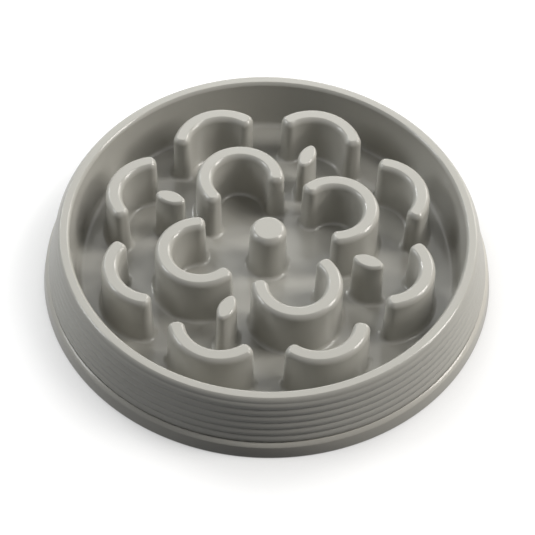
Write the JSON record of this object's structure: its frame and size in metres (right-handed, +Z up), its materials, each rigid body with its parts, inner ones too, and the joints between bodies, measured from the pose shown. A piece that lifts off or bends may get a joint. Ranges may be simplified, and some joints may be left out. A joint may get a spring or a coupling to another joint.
{
  "type": "slow feeder bowl",
  "caption": "Round slow feeder bowl for pets, with a maze of petal ridges, leaf posts and a centre post on its floor, a banded skirt and a non-slip base ring.",
  "frame": {"origin": "on the table, at the middle of the bowl's base", "axes": "+Z up out of the bowl; +X and +Y through the middles of inner ridges"},
  "size_m": [0.25, 0.25, 0.039],
  "materials": {
    "moulding": "gloss, warm grey",
    "ring": "satin, warm grey"
  },
  "bodies": {
    "root": {"bowl_wall": "moulding", "bowl_floor": "moulding", "base_ring": "ring", "center_post": "moulding", "inner_petal_1": "moulding", "inner_petal_2": "moulding", "inner_petal_3": "moulding", "inner_petal_4": "moulding", "outer_petal_1": "moulding", "outer_petal_2": "moulding", "outer_petal_3": "moulding", "outer_petal_4": "moulding", "outer_petal_5": "moulding", "outer_petal_6": "moulding", "outer_petal_7": "moulding", "outer_petal_8": "moulding", "leaf_post_1": "moulding", "leaf_post_2": "moulding", "leaf_post_3": "moulding", "leaf_post_4": "moulding"}
  },
  "joints": []
}
